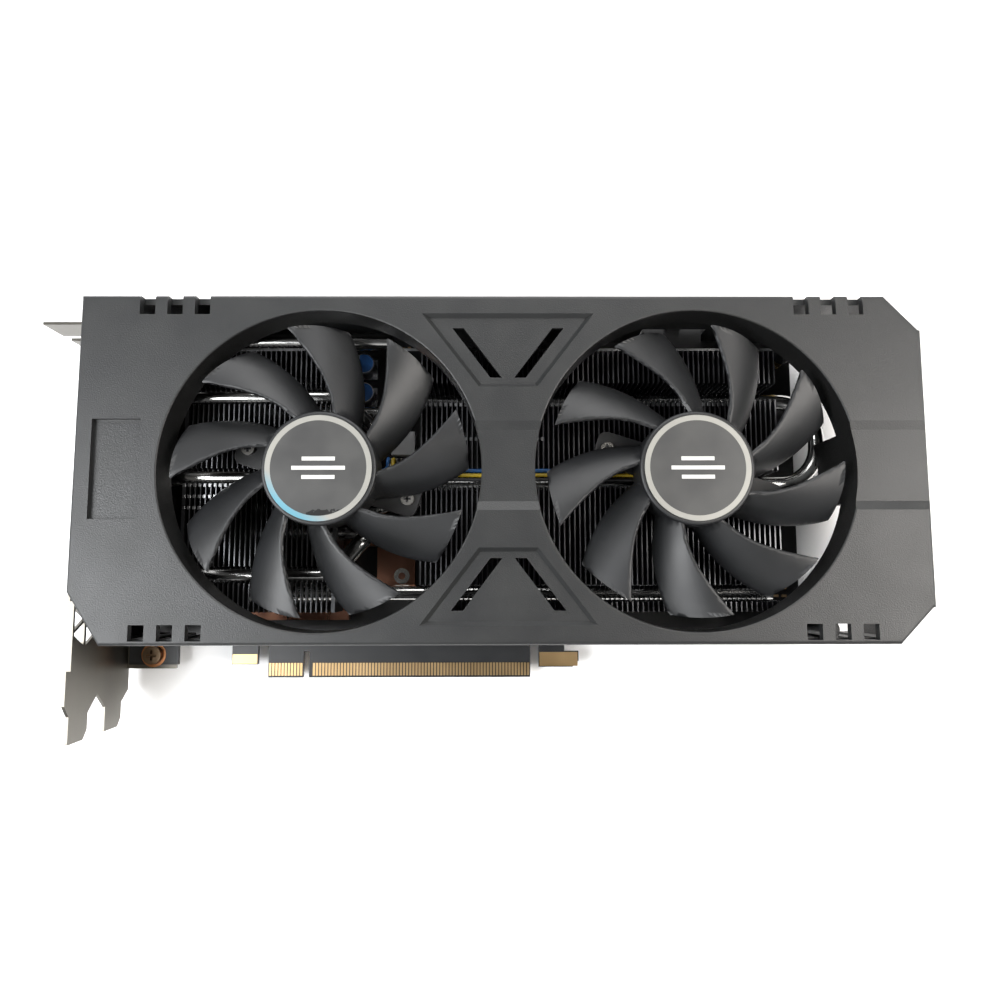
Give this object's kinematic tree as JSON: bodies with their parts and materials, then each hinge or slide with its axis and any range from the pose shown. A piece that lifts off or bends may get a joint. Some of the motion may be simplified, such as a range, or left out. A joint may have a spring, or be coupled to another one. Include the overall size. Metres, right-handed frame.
{
  "type": "graphics card",
  "caption": "Twin-fan graphics card: black cover over finned heat sink and heat pipes, circuit board with edge contacts, steel slot bracket.",
  "frame": {"origin": "middle of the key notch at the contact edge, on the board's component face", "axes": "+X along the board away from the slot bracket, +Y from the contact edge to the top edge, +Z out of the component face towards the fans"},
  "size_m": [0.2541, 0.1307, 0.0448],
  "materials": {
    "solder_mask_black": "satin solder mask over glass-epoxy laminate",
    "contact_gold": "gold plating, satin",
    "chip_black": "moulded epoxy, matt",
    "die_silicon": "polished silicon",
    "choke_grey": "pressed iron-powder block, matt",
    "can_aluminium": "drawn can with a printed blue top",
    "ceramic_chip": "small ceramic parts with tinned ends",
    "connector_black": "moulded nylon, matt",
    "connector_pale": "moulded nylon, off-white",
    "tinned_pin": "tin-plated brass",
    "solder": "solder, bright",
    "socket_steel": "nickel-plated stamped steel",
    "bracket_steel": "nickel-plated sheet steel, satin",
    "screw_steel": "nickel-plated steel",
    "screw_black": "black-oxide steel",
    "copper": "machined copper, lightly tarnished",
    "nickel_pipe": "nickel-plated copper tube, satin",
    "fin_aluminium": "stamped sheet aluminium",
    "spreader_aluminium": "extruded aluminium",
    "thermal_pad": "filled silicone, matt",
    "spring_steel": "spring steel",
    "plate_steel": "blackened sheet steel",
    "standoff_brass": "turned brass",
    "shroud_black": "fine-textured moulded ABS, matt",
    "frame_black": "moulded PBT, matt",
    "blade_black": "moulded PBT, satin",
    "label_grey": "printed polyester film with a silver ring",
    "magnet_ferrite": "bonded ferrite, matt",
    "yoke_steel": "deep-drawn steel",
    "shaft_steel": "ground steel",
    "bearing_bronze": "sintered bronze",
    "stator_core": "laminated iron with enamelled copper windings",
    "motor_board": "glass-epoxy laminate",
    "lead_black": "soft insulation, satin",
    "lead_yellow": "soft insulation, satin",
    "lead_blue": "soft insulation, satin"
  },
  "bodies": {
    "card": {"pcb": "solder_mask_black", "gold_fingers": "contact_gold", "gpu_package": "chip_black", "gpu_die": "die_silicon", "memory_chips": "chip_black", "power_stages": "chip_black", "controller_chips": "chip_black", "chokes": "choke_grey", "polymer_capacitors": "can_aluminium", "small_parts_front": "ceramic_chip", "small_parts_back": "ceramic_chip", "power_connector": "connector_black", "power_pins": "tinned_pin", "solder_tails": "solder", "fan_header": "connector_pale", "fan_plug": "connector_pale", "wide_port_shell": "socket_steel", "wide_port_tongue": "connector_black", "tall_port_shells": "socket_steel", "tall_port_tongues": "connector_black", "io_bracket": "bracket_steel", "bracket_screws": "screw_steel", "cold_plate": "copper", "fin_stack_left": "fin_aluminium", "fin_stack_right": "fin_aluminium", "heat_pipe_1": "nickel_pipe", "heat_pipe_2": "nickel_pipe", "heat_pipe_3": "nickel_pipe", "heat_pipe_4": "nickel_pipe", "heat_pipe_5": "nickel_pipe", "heat_pipe_6": "nickel_pipe", "vrm_plate": "spreader_aluminium", "thermal_pads": "thermal_pad", "retention_plate": "plate_steel", "retention_screws": "screw_steel", "retention_springs": "spring_steel", "standoffs": "standoff_brass", "cooler_screws": "screw_black", "shroud": "shroud_black", "shroud_screws": "screw_black", "fan_frame_left": "frame_black", "fan_frame_right": "frame_black", "fan_frame_screws": "screw_steel", "stator_left": "stator_core", "stator_right": "stator_core", "motor_boards": "motor_board", "bearing_sleeves": "bearing_bronze", "fan_lead_black": "lead_black", "fan_lead_yellow": "lead_yellow", "fan_lead_blue": "lead_blue"},
    "fan_left": {"rotor_left": "blade_black", "yoke_left": "yoke_steel", "magnet_left": "magnet_ferrite", "shaft_left": "shaft_steel", "hub_label_left": "label_grey"},
    "fan_right": {"rotor_right": "blade_black", "yoke_right": "yoke_steel", "magnet_right": "magnet_ferrite", "shaft_right": "shaft_steel", "hub_label_right": "label_grey"}
  },
  "joints": [
    {"name": "fan_left_spin", "type": "hinge", "parent": "card", "child": "fan_left", "pos_m": [0.0114, 0.0624, 0.032], "axis": [0, 0, 1], "continuous": true},
    {"name": "fan_right_spin", "type": "hinge", "parent": "card", "child": "fan_right", "pos_m": [0.1179, 0.0624, 0.032], "axis": [0, 0, 1], "continuous": true}
  ]
}
